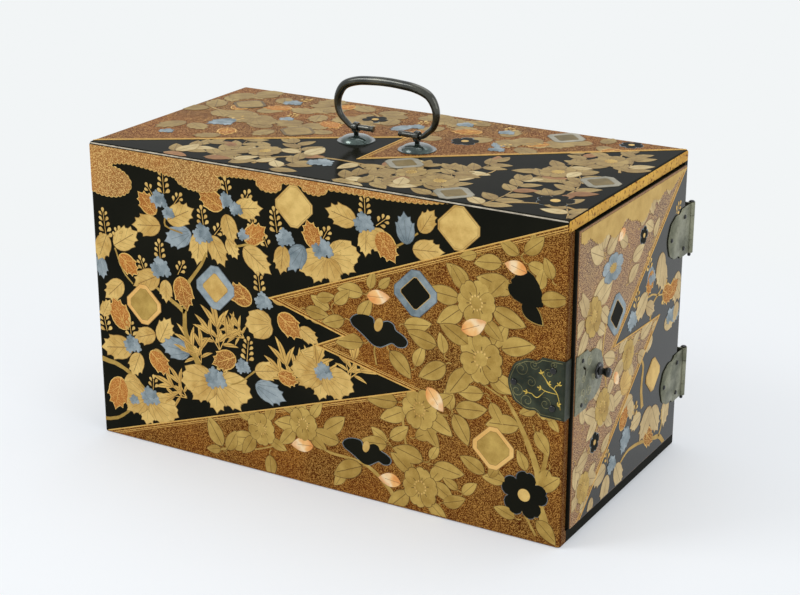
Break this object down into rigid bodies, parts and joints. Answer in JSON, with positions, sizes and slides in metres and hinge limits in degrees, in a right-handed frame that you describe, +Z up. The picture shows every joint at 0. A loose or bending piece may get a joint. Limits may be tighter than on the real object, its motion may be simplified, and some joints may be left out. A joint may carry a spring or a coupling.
{
  "type": "portable lacquer cabinet",
  "caption": "Long lacquered cabinet with a carrying bail on top, a side-hinged lockable door in one short end and a nest of full-length drawers behind it.",
  "frame": {"origin": "centre of the flat underside of the case", "axes": "+Z up, +X along the case towards the door end, -Y the long front face, door hinged at the +Y corner"},
  "size_m": [0.4689, 0.2425, 0.3284],
  "materials": {
    "lacquer": "polished black and gold-flaked lacquer on wood",
    "inner_lacquer": "satin dark brown lacquer on wood",
    "bronze": "grey-green patinated bronze",
    "dark_bronze": "dark patinated bronze",
    "iron": "dark forged iron"
  },
  "bodies": {
    "cabinet": {"top_board": "lacquer", "base_board": "lacquer", "front_side_board": "lacquer", "back_side_board": "lacquer", "far_end_board": "lacquer", "front_lining": "inner_lacquer", "back_lining": "inner_lacquer", "drawer_shelf_1": "inner_lacquer", "drawer_shelf_2": "inner_lacquer", "drawer_shelf_3": "inner_lacquer", "upper_hinge_box_leaf": "bronze", "upper_hinge_pin": "dark_bronze", "lower_hinge_box_leaf": "bronze", "lower_hinge_pin": "dark_bronze", "strike_plate": "dark_bronze", "left_eye_post": "bronze", "left_rosette": "bronze", "left_post_washer": "iron", "right_eye_post": "bronze", "right_rosette": "bronze", "right_post_washer": "iron"},
    "door": {"door_panel": "lacquer", "upper_hinge_door_leaf": "bronze", "lower_hinge_door_leaf": "bronze", "door_lock_plate": "bronze", "lock_case": "iron", "lock_cover": "bronze", "lock_spring": "iron", "knob_collar": "bronze", "door_knob": "dark_bronze", "knob_washer": "iron"},
    "bolt": {"lock_bolt": "iron"},
    "handle": {"bail": "bronze"},
    "drawer_1": {"drawer_1_front": "lacquer", "drawer_1_left_side": "inner_lacquer", "drawer_1_right_side": "inner_lacquer", "drawer_1_back": "inner_lacquer", "drawer_1_bottom": "inner_lacquer", "drawer_1_pull": "bronze"},
    "drawer_2": {"drawer_2_front": "lacquer", "drawer_2_left_side": "inner_lacquer", "drawer_2_right_side": "inner_lacquer", "drawer_2_back": "inner_lacquer", "drawer_2_bottom": "inner_lacquer", "drawer_2_pull": "bronze"},
    "drawer_3": {"drawer_3_front": "lacquer", "drawer_3_left_side": "inner_lacquer", "drawer_3_right_side": "inner_lacquer", "drawer_3_back": "inner_lacquer", "drawer_3_bottom": "inner_lacquer", "drawer_3_pull": "bronze"},
    "drawer_4": {"drawer_4_front": "lacquer", "drawer_4_left_side": "inner_lacquer", "drawer_4_right_side": "inner_lacquer", "drawer_4_back": "inner_lacquer", "drawer_4_bottom": "inner_lacquer", "drawer_4_pull": "bronze"}
  },
  "joints": [
    {"name": "door_hinge", "type": "hinge", "parent": "cabinet", "child": "door", "pos_m": [0.2304, 0.1209, 0.135], "axis": [0, 0, 1], "range_deg": [0, 260]},
    {"name": "bolt_throw", "type": "slide", "parent": "door", "child": "bolt", "axis": [0, -1, 0], "range_m": [0, 0.0065]},
    {"name": "bail_swing", "type": "hinge", "parent": "cabinet", "child": "handle", "pos_m": [0, 0, 0.2815], "axis": [1, 0, 0], "range_deg": [-95, 95]},
    {"name": "drawer_1_slide", "type": "slide", "parent": "cabinet", "child": "drawer_1", "axis": [1, 0, 0], "range_m": [0, 0.36]},
    {"name": "drawer_2_slide", "type": "slide", "parent": "cabinet", "child": "drawer_2", "axis": [1, 0, 0], "range_m": [0, 0.36]},
    {"name": "drawer_3_slide", "type": "slide", "parent": "cabinet", "child": "drawer_3", "axis": [1, 0, 0], "range_m": [0, 0.36]},
    {"name": "drawer_4_slide", "type": "slide", "parent": "cabinet", "child": "drawer_4", "axis": [1, 0, 0], "range_m": [0, 0.36]}
  ],
  "couplings": [
    {"joint": "drawer_1_slide", "follows": "door_hinge", "m_per_rad": 0.027},
    {"joint": "drawer_2_slide", "follows": "door_hinge", "m_per_rad": 0.0205},
    {"joint": "drawer_3_slide", "follows": "door_hinge", "m_per_rad": 0.014},
    {"joint": "drawer_4_slide", "follows": "door_hinge", "m_per_rad": 0.0075}
  ]
}
